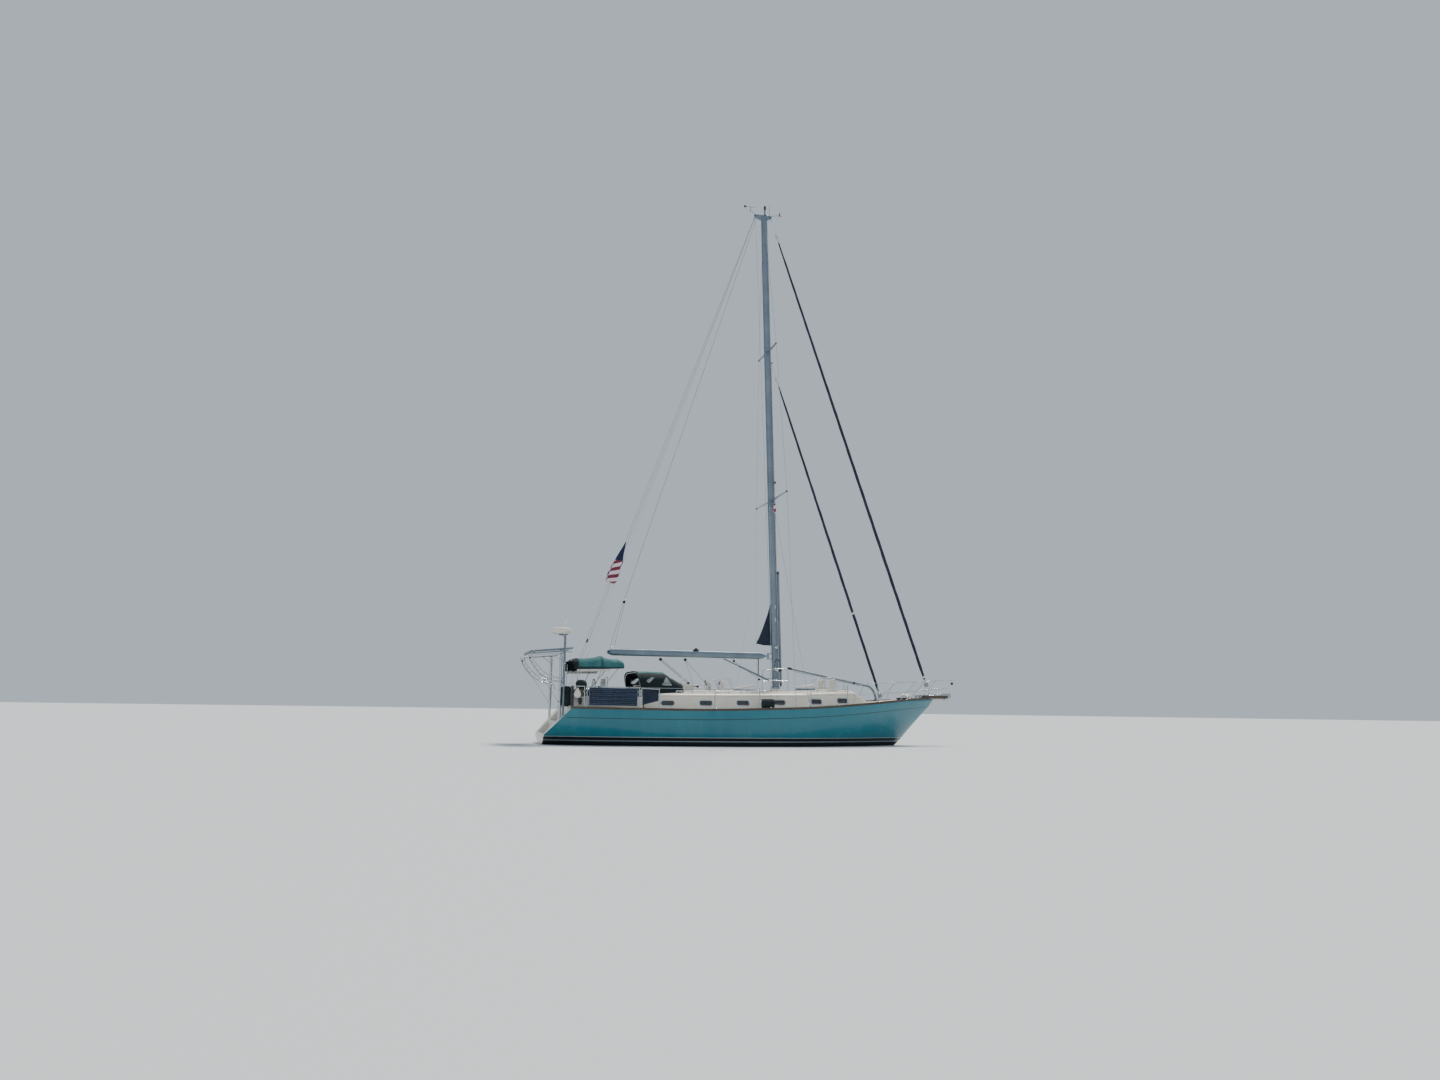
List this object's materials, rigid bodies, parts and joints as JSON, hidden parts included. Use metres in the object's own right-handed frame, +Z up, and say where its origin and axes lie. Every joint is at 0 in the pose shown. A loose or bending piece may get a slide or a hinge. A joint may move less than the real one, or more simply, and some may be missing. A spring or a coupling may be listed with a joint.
{
  "type": "sailing yacht",
  "caption": "Cruising cutter yacht with a full keel, stepped transom, furled headsails, stern arch and canvas over the cockpit.",
  "frame": {"origin": "on the waterline and the centreline, midway along the waterline length", "axes": "+X to the bow, +Y to port, +Z up"},
  "size_m": [14.2559, 4.3444, 18.99],
  "materials": {
    "hull_gelcoat": "glossy sea-green gelcoat",
    "bottom_paint": "matt dark bottom paint",
    "deck_moulding": "satin cream-white gelcoat",
    "teak": "oiled teak",
    "bronze": "cast bronze",
    "spar_alloy": "silver anodised",
    "stainless": "polished stainless",
    "green_canvas": "woven acrylic canvas",
    "navy_cloth": "sun cover over rolled sailcloth",
    "solar_cells": "dark cells under a clear cover",
    "engine_paint": "painted",
    "rope": "braided line",
    "flag_cloth": "limp flag cloth"
  },
  "bodies": {
    "yacht": {"hull": "hull_gelcoat", "boarding_steps": "deck_moulding", "engine": "engine_paint", "deck": "deck_moulding", "toe_rail_port": "teak", "toe_rail_starboard": "teak", "keel": "bottom_paint", "cabin_roof": "deck_moulding", "cabin_side_port": "deck_moulding", "cabin_side_starboard": "deck_moulding", "cabin_front": "deck_moulding", "cabin_aft_bulkhead": "deck_moulding", "cockpit_coaming_port": "deck_moulding", "cockpit_coaming_starboard": "deck_moulding", "steering_pedestal": "deck_moulding", "mast": "spar_alloy", "cap_shroud_port": "stainless", "forward_lower_port": "stainless", "aft_lower_port": "stainless", "cap_shroud_starboard": "stainless", "forward_lower_starboard": "stainless", "aft_lower_starboard": "stainless", "backstay": "stainless", "forestay_head": "stainless", "inner_stay_head": "stainless", "inner_stay_foot": "stainless", "bow_platform": "deck_moulding", "windlass": "deck_moulding", "mooring_bitt": "stainless", "bow_pulpit": "stainless", "lifelines_port": "stainless", "lifelines_starboard": "stainless", "pushpit_port": "stainless", "pushpit_starboard": "stainless", "stern_arch": "spar_alloy", "arch_solar_panel": "solar_cells", "radar_mast": "spar_alloy", "radome": "deck_moulding", "bimini_canopy": "green_canvas", "bimini_frame": "stainless", "dodger_canopy": "green_canvas", "dodger_frame": "stainless", "mainsail_clew": "navy_cloth", "whisker_pole": "spar_alloy", "outboard": "green_canvas", "flag_halyard": "rope", "ensign": "flag_cloth"},
    "boom": {"main_boom": "spar_alloy"},
    "club": {"staysail_boom": "spar_alloy"},
    "rudder": {"rudder": "bottom_paint"},
    "wheel": {"steering_wheel": "stainless"},
    "prop": {"propeller": "bronze"},
    "slider": {"companionway_hatch": "deck_moulding"},
    "lid_midship": {"hatch_midship": "deck_moulding"},
    "lid_forward": {"hatch_forward": "deck_moulding"},
    "lid_hood": {"hood_lid": "deck_moulding"},
    "genoa": {"genoa_furler": "navy_cloth"},
    "staysail": {"staysail_furler": "navy_cloth"},
    "panel_port": {"side_panel_port": "solar_cells"},
    "panel_starboard": {"side_panel_starboard": "solar_cells"}
  },
  "joints": [
    {"name": "main_boom_swing", "type": "hinge", "parent": "yacht", "child": "boom", "pos_m": [1.44, 0, 2.745], "axis": [-0.0321, 0, 0.9995], "range_deg": [-68, 68]},
    {"name": "staysail_boom_swing", "type": "hinge", "parent": "yacht", "child": "club", "pos_m": [5.08, 0, 1.41], "axis": [0, 0, 1], "range_deg": [-45, 45]},
    {"name": "rudder_turn", "type": "hinge", "parent": "yacht", "child": "rudder", "pos_m": [-4.55, 0, -0.8], "axis": [0, 0, 1], "range_deg": [-35, 35]},
    {"name": "wheel_turn", "type": "hinge", "parent": "yacht", "child": "wheel", "pos_m": [-4.06, 0, 1.48], "axis": [1, 0, 0], "range_deg": [-430, 430]},
    {"name": "propeller_spin", "type": "hinge", "parent": "yacht", "child": "prop", "pos_m": [-4.11, 0, -0.83], "axis": [1, 0, 0], "continuous": true},
    {"name": "companionway_slide", "type": "slide", "parent": "yacht", "child": "slider", "axis": [1, 0, 0], "range_m": [0, 0.72]},
    {"name": "hatch_midship_lift", "type": "hinge", "parent": "yacht", "child": "lid_midship", "pos_m": [0.37, 0, 1.6875], "axis": [0, -1, 0], "range_deg": [-10, 60]},
    {"name": "hatch_forward_lift", "type": "hinge", "parent": "yacht", "child": "lid_forward", "pos_m": [2.43, 0, 1.755], "axis": [0, -1, 0], "range_deg": [-12, 50]},
    {"name": "hood_lid_lift", "type": "hinge", "parent": "yacht", "child": "lid_hood", "pos_m": [-1.42, 0, 1.825], "axis": [0, -1, 0], "range_deg": [-48, 30]},
    {"name": "genoa_furl", "type": "hinge", "parent": "yacht", "child": "genoa", "pos_m": [6.99, 0, 1.63], "axis": [-0.3327, 0, 0.943], "continuous": true},
    {"name": "staysail_furl", "type": "hinge", "parent": "yacht", "child": "staysail", "pos_m": [5.27, 0, 1.47], "axis": [-0.329, 0, 0.9443], "continuous": true},
    {"name": "side_panel_port_tilt", "type": "hinge", "parent": "yacht", "child": "panel_port", "pos_m": [-4.49, 1.65747, 1.66184], "axis": [0.9842, 0.1771, -0.0089], "range_deg": [0, 90]},
    {"name": "side_panel_starboard_tilt", "type": "hinge", "parent": "yacht", "child": "panel_starboard", "pos_m": [-4.49, -1.65747, 1.66184], "axis": [-0.9842, 0.1771, 0.0089], "range_deg": [0, 90]}
  ],
  "couplings": [
    {"joint": "wheel_turn", "follows": "rudder_turn", "ratio": 12}
  ]
}
